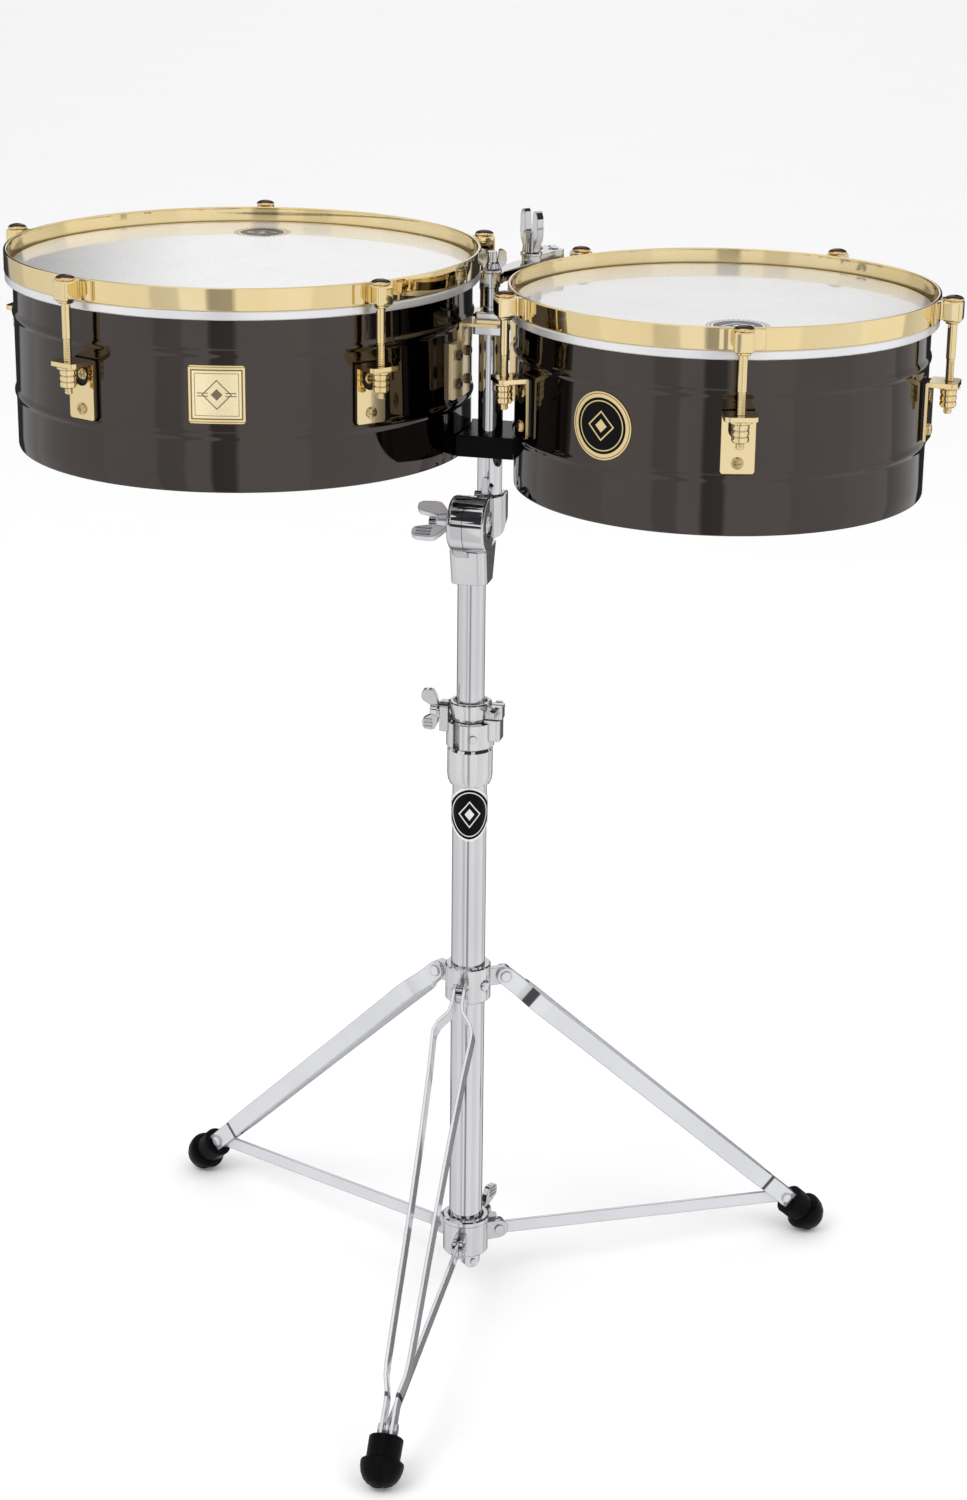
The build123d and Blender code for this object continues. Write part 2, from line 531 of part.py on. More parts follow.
# its bolt: round collar and square drive in front, hexagonal nut behind
FROM_BASE = (Align.CENTER, Align.CENTER, Align.MIN)
drive = Cylinder(5.2, 4, align=FROM_BASE) + Pos(0, 0, 4) * Box(5.4, 5.4, 7, align=FROM_BASE)
bolt = rod_y(-12.0, 13.0, *LOCK, 3.0) + Pos(LOCK[0], -8.6, LOCK[1]) * AIM_MINUS_Y * drive
bolt = bolt + Pos(LOCK[0], 12.4, LOCK[1]) * AIM_MINUS_Y * hexagon(9.5, 3.8)
save("memory_lock_bolt", bolt)

# height clamp: collar on the main tube, skirt below, boss at the left, lug at the right
CLAMP_BOLT = (-5.0, 590)        # y, z of its wing bolt
CLAMP_SCREW = (8.0, 569)        # x, z of its front set screw
collar = lathe([
    (MAIN_R + 0.03, 521), (18.6, 521), (20.2, 524.5), (20.9, 530), (20.9, 554), (19.4, 556.6),
    (22.0, 558), (22.0, 581.4), (17.0, 581.9), (17.0, 578.6), (MAIN_R + 0.9, 578.6),
    (MAIN_R + 0.9, MAIN_Z1), (MAIN_R + 0.03, MAIN_Z1)])
boss = box(-26.0, -18.0, -13.0, 3.0, 572, 599.5)
boss = soften(boss, 5.0, end_edges(boss, Axis.Z).filter_by(Axis.X))
boss = boss - rod_z(500, 700, 0, 0, 18.0) - rod_z(585, 700, 0, 0, 19.9)
lug = box(14.0, 29.5, -10.0, 10.0, 565, 584.8)
lug = soften(lug, 3.5, end_edges(lug, Axis.X).filter_by(Axis.Z))
lug = lug - rod_z(500, 700, 0, 0, 18.0)
collar = collar + boss + lug
# notch for the memory lock's tongue
collar = (collar - box(17.6, 20.7, -5.2, 5.2, 574.2, 590)
          - box(14, 20.7, -5.2, 5.2, 581.9, 590))
# slot in the front wall
around = rod_z(550, 600, 0, 0, 40) - rod_z(550, 600, 0, 0, MAIN_R + 1.2)
collar = collar - (box(-11.5, -5.0, -30, -10, 557.6, 590) & around)
bore = rod_z(500, 700, 0, 0, MAIN_R + 0.03) & box(-40, 40, -40, 40, 500, MAIN_Z1)
collar = collar - rod_x(-40, -10, *CLAMP_BOLT, 3.6) - bore
collar = collar - rod_y(-30, -20.2, *CLAMP_SCREW, 3.6)
save("height_clamp", collar)
bolt = wing(boss_r=6.6, boss_h=10.0, span=40.0, reach=18.0, thick=5.0, shaft_r=3.5, shaft_l=7.5)
save("height_wing_bolt", Pos(-26.1, *CLAMP_BOLT) * AIM_MINUS_X * turn(-6) * bolt)

# plug in the main tube's lower end, with a rounded lip on one side
PLUG_AZ = -47.5
plug_r = MAIN_R - MAIN_T - 0.05
plug = lathe([(0, 33), (15.4, 33), (15.8, 33.6), (15.8, 35.9), (plug_r, 35.9),
              (plug_r, 48), (0, 48)])
lip = (rod_z(20, 34, 0, 0, 15.8) - rod_z(10, 50, 0, 0, 12.4)) & (
    box(0, 30, -9.5, 9.5, 33.0, 34.0) + Pos(15, 0, 33.2) * AIM_X * Cylinder(9.5, 30))
save("tube_end_plug", plug + turn(PLUG_AZ) * lip)

# oval badge curved round the front of the main tube
skin = rod_z(440, 540, 0, 0, MAIN_R + 0.85) - rod_z(430, 550, 0, 0, MAIN_R + 0.04)
oval = Pos(0, 0, 494.2) * AIM_MINUS_Y * extrude(Ellipse(19.0, 26.4), 40)
save("stand_badge", turn(13.7) * (skin & oval))

# ---------------------------------------------------------------- tripod collar and hub
# Radius and height in a leg's own plane
LEG_AZ = {"front": -87.5, "right": 32.5, "left": 152.5}
PIVOT_R, PIVOT_Z = 36.0, 323.0  # upper leg pivot on the collar
HUB_PIVOT = (33.0, 55.0)        # strut pivot on the sliding hub
JOINT_R, JOINT_Z = 339.0, 41.0  # strut pivot on the leg
FOOT_R, FOOT_Z = 362.0, 19.6    # centre of the foot's ball
COLLAR_SCREW_AZ = -27.5
HUB_BOLT_AZ = 72.0
HUB_BOLT_Z = 64

# leg collar with three ears
collar = lathe([(MAIN_R + 0.02, 305), (20.4, 305), (21.4, 306), (21.4, 339), (20.4, 340),
                (MAIN_R + 0.02, 340)])
ear = (rod_y(-3.1, 3.1, PIVOT_R, PIVOT_Z, 8.6)
       + box(17.5, PIVOT_R, -3.1, 3.1, PIVOT_Z - 8.6, PIVOT_Z + 8.6))
for az in LEG_AZ.values():
    collar = collar + turn(az) * (ear - Cylinder(17.0, 900))
collar = collar - turn(COLLAR_SCREW_AZ) * rod_x(10, 30, 0, 322, 3.1)
save("leg_collar", collar)

# screws of the end plug, the height clamp and the leg collar
plug_screw = Pos(15.9, 0, 30.4) * AIM_X * lathe([(0, 0), (3.2, 0), (3.0, 1.2), (0, 2.0)])
clamp_screw = rod_y(-24.5, -20.4, *CLAMP_SCREW, 3.4) & rod_z(500, 700, 0, 0, 24.0)
screw_head = lathe([(0, 0), (5.4, 0), (5.2, 1.6), (3.6, 2.8), (0, 3.1)])
collar_screw = rod_x(16.2, 21.5, 0, 322, 3.0) + Pos(21.45, 0, 322) * AIM_X * screw_head
save("set_screws", turn(PLUG_AZ) * plug_screw, clamp_screw, turn(COLLAR_SCREW_AZ) * collar_screw)

# sliding hub with three clevises and a boss for its wing bolt
hub = lathe([(MAIN_R + 0.06, 38), (20.5, 38), (21.6, 39.2), (21.6, 70), (22.6, 71), (22.6, 75),
             (21.4, 76), (MAIN_R + 1.6, 76), (MAIN_R + 0.06, 74.5)])
clevis = rod_y(-4.9, 4.9, *HUB_PIVOT, 9.2) + box(
    17.5, HUB_PIVOT[0], -4.9, 4.9, HUB_PIVOT[1] - 9.2, HUB_PIVOT[1] + 9.2)
clevis = (clevis - box(24.0, 60, -1.65, 1.65, 0, 100) - rod_y(-10, 10, *HUB_PIVOT, 3.0)
          - Cylinder(17.5, 900))
for az in LEG_AZ.values():
    hub = hub + turn(az) * clevis
hub = hub + turn(HUB_BOLT_AZ) * (rod_x(18.0, 30.0, 0, HUB_BOLT_Z, 7.6) - Cylinder(17.5, 900))
hub = hub - turn(HUB_BOLT_AZ) * rod_x(10, 40, 0, HUB_BOLT_Z, 3.6)
save("leg_hub", hub)
bolt = wing(boss_r=6.4, boss_h=10.0, span=44.0, reach=24.0, thick=5.0, shaft_r=3.5, shaft_l=13.8)
save("hub_wing_bolt", turn(HUB_BOLT_AZ) * (Pos(30.1, 0, HUB_BOLT_Z) * AIM_X * bolt))
rivet = (rod_y(-6.4, 6.4, *HUB_PIVOT, 2.9) + rod_y(-6.6, -4.95, *HUB_PIVOT, 4.6)
         + rod_y(4.95, 6.6, *HUB_PIVOT, 4.6))
save("hub_pivot_rivets", *[turn(az) * rivet for az in LEG_AZ.values()])

# ---------------------------------------------------------------- legs, struts and feet
# Drawn with X along the leg or strut from its inner pivot, Y sideways.
LEG_W, LEG_T = 17.0, 3.0        # leg strip section
STRUT_W, STRUT_T = 12.5, 3.0    # strut strip section
STRIP_Y = 4.72                  # strip's middle beside the leg's plane, at both ends
STRIP_OUT, STRIP_IN = 6.24, 3.18  # seats of the heads and spacers on the strips
leg_tilt = 90 - math.degrees(math.atan2(JOINT_R - PIVOT_R, PIVOT_Z - JOINT_Z))
joint_x = math.hypot(JOINT_R - PIVOT_R, PIVOT_Z - JOINT_Z)
foot_x = math.hypot(FOOT_R - PIVOT_R, PIVOT_Z - FOOT_Z)
strut_drop, strut_run = HUB_PIVOT[1] - JOINT_Z, JOINT_R - HUB_PIVOT[0]
strut_tilt = math.degrees(math.atan2(strut_drop, strut_run))
strut_len = math.hypot(strut_run, strut_drop)
# Middle line of a bowed leg strip: distance along the leg, distance sideways
STRIP_LINE = [
    (-8.5, STRIP_Y), (14, STRIP_Y), (22, 6.6), (33, 15.2), (42, 18.2), (55, 17.6),
    (80, 16.0), (140, 13.8), (205, 12.2), (260, 11.2), (320, 10.4), (356, 9.8),
    (368, 8.8), (384, 5.2), (392, STRIP_Y), (foot_x - 2, STRIP_Y)]


def leg_strip(side):
    """One bowed strip with a rounded upper end."""
    outer, inner = [], []
    for i, (x, y) in enumerate(STRIP_LINE):
        before = STRIP_LINE[max(i - 1, 0)]
        after = STRIP_LINE[min(i + 1, len(STRIP_LINE) - 1)]
        angle = math.atan2(after[1] - before[1], after[0] - before[0])
        dx, dy = -math.sin(angle) * LEG_T / 2, math.cos(angle) * LEG_T / 2
        outer.append((x + dx, side * (y + dy)))
        inner.append((x - dx, side * (y - dy)))
    strip = prism(outer + inner[::-1], Plane.XY, LEG_W)
    outline = Pos(foot_x / 2, 0, 0) * Box(foot_x, 80, LEG_W) + rod_y(-40, 40, 0, 0, LEG_W / 2)
    strip = strip & outline
    return strip - rod_y(-40, 40, joint_x, 0, 3.1)


def leg_parts():
    """Two strips, the upper pivot's two heads, the strut screw and its two spacers."""
    heads = [rod_y(STRIP_OUT, 8.0, 0, 0, 5.2), rod_y(-8.0, -STRIP_OUT, 0, 0, 5.2)]
    screw = (rod_y(-7.6, 7.6, joint_x, 0, 3.0) + rod_y(STRIP_OUT, 8.6, joint_x, 0, 5.2)
             + rod_y(-8.6, -STRIP_OUT, joint_x, 0, 4.6))
    spacers = [rod_y(y0, y1, joint_x, 0, 5.6) - rod_y(-40, 40, joint_x, 0, 3.1)
               for y0, y1 in ((1.6, STRIP_IN), (-STRIP_IN, -1.6))]
    return [leg_strip(1), leg_strip(-1)] + heads + [screw] + spacers


def strut():
    """Flat strip with rounded, drilled ends."""
    bar = Pos(strut_len / 2, 0, 0) * Box(strut_len, STRUT_T, STRUT_W)
    for x in (0, strut_len):
        bar = bar + rod_y(-STRUT_T / 2, STRUT_T / 2, x, 0, STRUT_W / 2)
    return bar - rod_y(-9, 9, 0, 0, 2.96) - rod_y(-9, 9, strut_len, 0, 3.06)


def foot():
    """Rubber foot: neck, flared skirt and dome, with pockets for the strip ends."""
    body = Pos(foot_x, 0, 0) * (AIM_X * lathe([
        (0, -24.5), (14.0, -24.5), (15.2, -23.2), (15.0, -4.5), (17.0, -4.0), (18.8, -2.6),
        (19.2, -0.8), (18.9, 3.0), (17.6, 8.2), (15.0, 13.2), (11.2, 17.0), (6.0, 19.6),
        (0, 20.6)]))
    for side in (1, -1):
        pocket = Box(24.3, LEG_T + 0.06, LEG_W + 0.06)
        body = body - Pos(foot_x - 14, side * STRIP_Y, 0) * pocket
    return body


def in_plane(azimuth, radius, z, tilt, part):
    """Place a leg or strut part; tilt is the angle of its X below the horizontal."""
    return turn(azimuth) * Pos(radius, 0, z) * Rot(0, tilt, 0) * part


for name, az in LEG_AZ.items():
    save(name + "_leg", *[in_plane(az, PIVOT_R, PIVOT_Z, leg_tilt, part) for part in leg_parts()])
    save(name + "_strut", in_plane(az, *HUB_PIVOT, strut_tilt, strut()))
    # the dome is cut flat where it stands on the floor
    placed_foot = in_plane(az, PIVOT_R, PIVOT_Z, leg_tilt, foot())
    save(name + "_foot", placed_foot & box(-600, 600, -600, 600, 0.0, 200))
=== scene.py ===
"""A pair of single-headed metal drums on a tripod stand.

The floor is z = 0, up is +Z, and the camera looks from the -Y side, so the left drum lies
towards -X. Meshes are built in millimetres in the stand's own frame and turned into metres
in the scene; lengths in materials are metres.
"""
import math
from collections import namedtuple

import bpy
import bmesh
import numpy as np
from mathutils import Matrix, Vector


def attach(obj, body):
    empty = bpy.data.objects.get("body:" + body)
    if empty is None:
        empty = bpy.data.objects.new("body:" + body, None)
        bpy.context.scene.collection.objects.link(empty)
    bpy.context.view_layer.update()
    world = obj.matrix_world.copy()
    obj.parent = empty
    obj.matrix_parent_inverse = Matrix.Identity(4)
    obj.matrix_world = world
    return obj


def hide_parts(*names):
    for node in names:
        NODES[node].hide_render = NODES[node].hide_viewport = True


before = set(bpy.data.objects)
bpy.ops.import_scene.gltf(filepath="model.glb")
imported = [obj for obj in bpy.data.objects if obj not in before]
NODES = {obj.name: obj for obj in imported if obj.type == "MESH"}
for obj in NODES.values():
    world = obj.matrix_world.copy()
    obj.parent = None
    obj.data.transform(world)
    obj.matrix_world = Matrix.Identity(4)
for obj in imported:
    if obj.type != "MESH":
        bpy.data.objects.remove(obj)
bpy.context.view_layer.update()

TAU = math.tau

# Sizes in mm. Drum heights are measured from the top of the hoop, z = 0, downwards.
FRAME_X, FRAME_Y = 8.241, 76.774      # origin of the stand's frame in the scene
DEPTH = 174.2                         # hoop top to shell bottom
HEAD_DROP = 13.0                      # hoop top to drumhead film
WALL = 1.2                            # shell thickness
BEADS = (55.0, 125.0)                 # depths of the two beads round the shell
BEAD_HALF, BEAD_RISE = 5.4, 1.6       # half width and height of a bead
LUGS = 5
ROD_OUT = 19.4                        # shell surface to tension rod axis
DRUM_SEGS = 384

# centre: hoop top, mm; angles: degrees; mark_out: drum axis to printed mark, m;
# tone: painted light on the film, a scale on its colour; the right drum's lower value is
# painted shade
Drum = namedtuple("Drum", "name centre radius lug_angle mark_out mark_angle tone bracket_angle")
LEFT = Drum("left", (-210.6, 0.0, 1005.4), 203.2, -113.5, 0.143, 101.0, 1.0, -6.5)
RIGHT = Drum("right", (219.2, 0.0, 992.8), 177.8, -76.0, 0.112, -74.6, 0.80, 183.5)


def scene_point(x, y, z):
    """A point of the stand's frame (mm) in the scene (m)."""
    return Vector(((x + FRAME_X) / 1000, (y + FRAME_Y) / 1000, z / 1000))


# ---------------------------------------------------------------- node helpers
class Net:
    """Short-hand for building a node tree. Inputs take a socket or a plain value."""

    def __init__(self, tree):
        self.tree = tree
        tree.nodes.clear()

    def node(self, kind, inputs, **props):
        node = self.tree.nodes.new("ShaderNode" + kind)
        for key, value in props.items():
            setattr(node, key, value)
        for key, value in inputs.items():
            socket = node.inputs[key]
            if isinstance(value, bpy.types.NodeSocket):
                self.tree.links.new(value, socket)
            elif isinstance(value, (tuple, Vector)):
                alpha = (1.0,) if socket.type == "RGBA" else ()
                socket.default_value = tuple(value) + alpha
            else:
                socket.default_value = value
        return node

    def coord(self, output="Object"):
        return self.node("TexCoord", {}).outputs[output]

    def normal(self):
        return self.node("NewGeometry", {}).outputs["Normal"]

    def facing(self):
        return self.node("LayerWeight", {"Blend": 0.5}).outputs["Facing"]

    def bevel(self, radius):
        return self.node("Bevel", {"Radius": radius}, samples=4).outputs[0]

    def split(self, vec):
        return self.node("SeparateXYZ", {"Vector": vec}).outputs

    def math(self, operation, *values, clamp=False):
        inputs = dict(enumerate(values))
        return self.node("Math", inputs, operation=operation, use_clamp=clamp).outputs[0]

    def add(self, a, b, clamp=False):
        return self.math("ADD", a, b, clamp=clamp)

    def sub(self, a, b):
        return self.math("SUBTRACT", a, b)

    def mul(self, a, b):
        return self.math("MULTIPLY", a, b)

    def radius(self, squared_x, squared_y):
        return self.math("SQRT", self.add(squared_x, squared_y))

    def vector(self, operation, *values):
        node = self.node("VectorMath", dict(enumerate(values)), operation=operation)
        return node.outputs["Value" if operation == "DOT_PRODUCT" else 0]

    def dot(self, a, b):
        return self.vector("DOT_PRODUCT", a, b)

    def noise(self, vec, scale, detail=3.0, rough=0.5):
        inputs = {"Scale": scale, "Detail": detail, "Roughness": rough, "Vector": vec}
        return self.node("TexNoise", inputs).outputs["Fac"]

    def remap(self, value, source, target=(0.0, 1.0), smooth=False):
        inputs = dict(enumerate((value, *source, *target)))
        kind = "SMOOTHSTEP" if smooth else "LINEAR"
        return self.node("MapRange", inputs, interpolation_type=kind).outputs[0]

    def band(self, value, low, high, soft=0.00012):
        """1 where low < value < high, with soft edges."""
        return self.mul(self.remap(value, (low - soft, low + soft)),
                        self.remap(value, (high - soft, high + soft), (1.0, 0.0)))

    def below(self, value, high):
        """1 for distances under high; the low edge is out of reach."""
        return self.band(value, -1.0, high)

    def mix(self, factor, a, b):
        return self.node("Mix", {0: factor, 6: a, 7: b}, data_type="RGBA").outputs[2]

    def scaled(self, vec, scale):
        return self.node("Mapping", {"Vector": vec, "Scale": scale}).outputs[0]

    def plane(self, origin, along_u, along_v):
        """Two plane coordinates (m) of the shaded point, and its object coordinate."""
        point = self.coord()
        offset = self.vector("SUBTRACT", point, origin)
        return self.dot(offset, along_u), self.dot(offset, along_v), point

    def surface(self, inputs):
        bsdf = self.node("BsdfPrincipled", inputs)
        self.node("OutputMaterial", {"Surface": bsdf.outputs[0]})

    def bumped(self, inputs, height, strength, distance=0.0002, bevel=0.0):
        """Surface with a bump; a bevel radius softens the edges."""
        bump = {"Height": height, "Strength": strength, "Distance": distance}
        if bevel:
            bump["Normal"] = self.bevel(bevel)
        self.surface({**inputs, "Normal": self.node("Bump", bump).outputs[0]})


def material(name):
    mat = bpy.data.materials.new(name)
    mat.use_nodes = True
    return mat, Net(mat.node_tree)


# ---------------------------------------------------------------- metals
def painted_corner_reflection(net, base, colour, radius, strength):
    """Painted reflection: a thin dark line laid on rounded corners, for the dark studio they
    would mirror.
    """
    turn = net.dot(net.bevel(radius), net.normal())
    line = net.remap(turn, (0.97, 0.88), smooth=True)
    return net.mix(net.mul(line, strength), base, colour)


def painted_flag_reflection(net, base, scale, fade, colour):
    """Painted reflection: dark studio flags laid into the colour in the mirror direction, above
    the horizon.
    """
    mirror = net.coord("Reflection")
    stretched = net.scaled(mirror, (scale, scale, scale * 1.5))
    patches = net.noise(stretched, scale=1.0, detail=1.5, rough=0.45)
    high = net.remap(net.split(mirror)[2], (-0.14, 0.0), smooth=True)
    dark = net.mul(net.remap(patches, fade, (1.0, 0.0), smooth=True), high)
    return net.mix(dark, base, colour)


def metal(name, base, tint, rough, spread=0.35, scratch=0.03, wave=0.0, bevel=0.0004,
          smudge=0.05, body=1.0, line=None, flags=None, overlay=None):
    """Plated or cast metal: colour drift from base to tint, smudges and hair scratches.

    spread: relative swing of the roughness; wave: casting skin in the bump;
    body: metallic weight; overlay: (mask function of the net, colour) laid on top.
    """
    mat, net = material(name)
    point = net.coord()
    drift = net.noise(point, scale=9.0, detail=4.0)
    fine = net.noise(point, scale=160.0, detail=4.0, rough=0.6)
    colour = net.mix(net.remap(drift, (0.35, 0.68), smooth=True), base, tint)
    # painted reflections: dark lines on rounded corners and dark studio flags laid into the
    # colour
    if line:
        colour = painted_corner_reflection(net, colour, **line)
    if flags:
        colour = painted_flag_reflection(net, colour, **flags)
    # overlay: painted reflection for the domes, tube outlines and leg bends; the bracket
    # screws' own dark colour
    if overlay:
        mask, over = overlay
        colour = net.mix(mask(net), colour, over)

    polish = net.remap(fine, (0.3, 0.75), (rough * (1 - spread), rough * (1 + spread)))
    blots = net.noise(point, scale=23.0, detail=5.0, rough=0.65)
    smudges = net.mul(net.remap(blots, (0.56, 0.74), smooth=True), smudge)
    # two crossing stretched noises
    along_x = net.noise(net.scaled(point, (40.0, 900.0, 900.0)), scale=1.0, detail=2.0)
    along_y = net.noise(net.scaled(point, (700.0, 60.0, 500.0)), scale=1.0, detail=2.0)
    height = net.add(net.mul(along_x, 0.6), net.mul(along_y, 0.4))
    if wave:
        height = net.add(height, net.mul(net.noise(point, scale=55.0), wave))
    net.bumped({"Metallic": body, "Base Color": colour, "Roughness": net.add(polish, smudges)},
               height, strength=scratch, bevel=bevel)
    return mat


def painted_crown_reflection_mask(net):
    """Painted reflection: the upturned part of the domes, away from the side facing the viewer,
    marked for a dark tint that stands in for the dark ceiling they mirror.
    """
    up = net.dot(net.normal(), (0.0, 0.0, 1.0))
    return net.mul(net.remap(net.facing(), (0.16, 0.34), smooth=True),
                   net.remap(up, (0.35, 0.6), smooth=True))


def painted_rim_reflection_mask(net):
    """Painted reflection: the outline of a round tube, darkened for the dark wings of the
    studio it mirrors.
    """
    return net.remap(net.facing(), (0.58, 0.74), (0.0, 0.85), smooth=True)


def painted_bend_reflection_mask(net):
    """Painted reflection: a dark band across the leg strips at each of two bends, placed by
    distance down the leg.
    """
    offset = net.vector("SUBTRACT", net.coord(), scene_point(0, 0, 0))
    x, y, z = net.split(offset)
    out = net.radius(net.mul(x, x), net.mul(y, y))
    # measured from radius 0.036, height 0.323; 0.732 and 0.681 are the slope's parts
    along = net.add(net.mul(net.sub(out, 0.036), 0.732), net.mul(net.sub(0.323, z), 0.681))
    # the upper band shows only on the +X side
    upper = net.mul(net.band(along, 0.0275, 0.0365, soft=0.0006),
                    net.math("GREATER_THAN", x, 0.03))
    lower = net.band(along, 0.3830, 0.3872, soft=0.0004)
    return net.mul(net.add(upper, lower, clamp=True), 0.93)


# settings of the painted corner reflection: its colour, bevel radius and strength
def line(colour, radius, strength):
    return dict(colour=colour, radius=radius, strength=strength)


LEG_LINE = line((0.02, 0.02, 0.025), radius=0.0012, strength=1.0)

GOLD = metal("gold_plate", (0.84, 0.66, 0.34), (0.86, 0.71, 0.42), rough=0.045, wave=0.10,
             line=line((0.16, 0.09, 0.02), radius=0.0006, strength=0.75))
HOOP_GOLD = metal("gold_hoop", (0.84, 0.67, 0.35), (0.87, 0.72, 0.43), rough=0.035, wave=0.06,
                  scratch=0.02, line=line((0.20, 0.12, 0.03), radius=0.0007, strength=0.8))
# dark brown painted reflection on the dome tops
DOME = metal("gold_dome", (0.84, 0.66, 0.34), (0.80, 0.58, 0.30), rough=0.05,
             overlay=(painted_crown_reflection_mask, (0.045, 0.012, 0.008)))
NICKEL = metal("black_nickel", (0.078, 0.067, 0.061), (0.071, 0.062, 0.058), rough=0.03,
               wave=0.02, scratch=0.015, smudge=0.02)
CHROME = metal("chrome", (0.68, 0.682, 0.70), (0.64, 0.642, 0.665), rough=0.035, scratch=0.02,
               line=line((0.05, 0.05, 0.06), radius=0.0008, strength=0.9),
               flags=dict(scale=2.2, fade=(0.45, 0.465), colour=(0.03, 0.03, 0.035)))
# painted reflection: dark outline on the tube's sides
CHROME_TUBE = metal("chrome_tube", (0.68, 0.682, 0.69), (0.64, 0.642, 0.65), rough=0.15,
                    scratch=0.02, smudge=0.02, overlay=(painted_rim_reflection_mask, (0.10, 0.10, 0.11)))
# painted reflection: dark bands at the leg bends
CHROME_LEG = metal("chrome_leg", (0.72, 0.725, 0.75), (0.66, 0.665, 0.695), rough=0.05,
                   scratch=0.02, body=0.55, line=LEG_LINE,
                   overlay=(painted_bend_reflection_mask, (0.03, 0.03, 0.035)))
CHROME_STRUT = metal("chrome_strut", (0.74, 0.745, 0.77), (0.68, 0.685, 0.715), rough=0.05,
                     scratch=0.02, body=0.60, line=LEG_LINE)
CAST = metal("chrome_cast", (0.68, 0.68, 0.685), (0.60, 0.60, 0.61), rough=0.04, wave=0.8,
             scratch=0.06, body=0.80,
             line=line((0.03, 0.03, 0.035), radius=0.0010, strength=0.9),
             flags=dict(scale=2.8, fade=(0.485, 0.50), colour=(0.022, 0.022, 0.026)))
ALU = metal("aluminium_satin", (0.80, 0.80, 0.81), (0.76, 0.76, 0.77), rough=0.30, spread=0.06,
            scratch=0.0, smudge=0.0, body=0.7, bevel=0)
GOLD_FLAT = metal("gold_flat", (0.90, 0.74, 0.44), (0.84, 0.67, 0.38), rough=0.12, body=0.5,
                  line=line((0.20, 0.12, 0.03), radius=0.0006, strength=0.8))


def screw_metal(drum):
    """Gilt lug screws; the ones through the mount bracket are dark."""
    x, y, _ = drum.centre
    angle = math.radians(drum.bracket_angle)

    def bracket_mask(net):
        offset = net.vector("SUBTRACT", net.coord(), scene_point(x, y, 0))
        flat = net.vector("NORMALIZE", net.vector("MULTIPLY", offset, (1.0, 1.0, 0.0)))
        toward = net.dot(flat, (math.cos(angle), math.sin(angle), 0.0))
        return net.math("GREATER_THAN", toward, 0.985)

    return metal(drum.name + "_screws", (0.70, 0.55, 0.30), (0.52, 0.40, 0.22), rough=0.16,
                 scratch=0.08, line=line((0.10, 0.06, 0.02), radius=0.0005, strength=0.9),
                 overlay=(bracket_mask, (0.11, 0.085, 0.06)))


# ---------------------------------------------------------------- nylon, rubber, fibre
def plastic(name, base, rough, grain, grain_scale=900.0, dust=None, specular=0.28):
    """Fine pebble grain, uneven sheen and, with a dust colour, pale dust in places."""
    mat, net = material(name)
    point = net.coord()
    patches = net.noise(point, scale=30.0, detail=5.0, rough=0.6)
    pebble = net.noise(point, scale=grain_scale, rough=0.6)
    lighter = tuple(c * 1.45 + 0.0015 for c in base)
    colour = net.mix(net.remap(patches, (0.3, 0.7)), base, lighter)
    if dust:
        specks = net.noise(point, scale=70.0, detail=6.0, rough=0.7)
        amount = net.remap(specks, (0.55, 0.8), (0.0, 0.35))
        colour = net.mix(net.mul(amount, 1.0), colour, dust)
    sheen = net.remap(pebble, (0.3, 0.7), (rough * 0.75, rough * 1.25))
    net.bumped({"Base Color": colour, "Roughness": sheen, "Specular IOR Level": specular},
               pebble, strength=grain, distance=0.0003, bevel=0.0006)
    return mat


NYLON = plastic("black_nylon", (0.0016, 0.0018, 0.0022), rough=0.24, grain=0.05, specular=0.05)
RUBBER = plastic("foot_rubber", (0.0014, 0.0014, 0.0018), rough=0.22, grain=0.08,
                 grain_scale=700.0, dust=(0.004, 0.004, 0.004), specular=0.06)
FIBRE = plastic("gasket_fibre", (0.02, 0.019, 0.018), rough=0.7, grain=0.4, grain_scale=500.0)


# ---------------------------------------------------------------- drumhead film
def printed_mark(net, across, along):
    """Ink mask: a disc with a lozenge knocked out, inside two rings and a ring of ticks."""
    out = net.radius(net.mul(across, across), net.mul(along, along))
    disc = net.below(out, 0.0206)
    rim = net.band(out, 0.0222, 0.0232)
    outer = net.band(out, 0.0258, 0.0264)
    angle = net.math("ARCTAN2", along, across)
    ticks = net.math("GREATER_THAN", net.math("SINE", net.mul(angle, 36.0)), 0.1)
    ticks = net.mul(ticks, net.band(out, 0.0238, 0.0252))
    lozenge = net.add(net.math("ABSOLUTE", across), net.mul(net.math("ABSOLUTE", along), 0.75))
    white = net.add(net.band(lozenge, 0.0092, 0.0108), net.below(lozenge, 0.0034), clamp=True)
    return net.add(net.mul(disc, net.sub(1.0, white)),
                   net.add(rim, net.add(outer, ticks)), clamp=True)


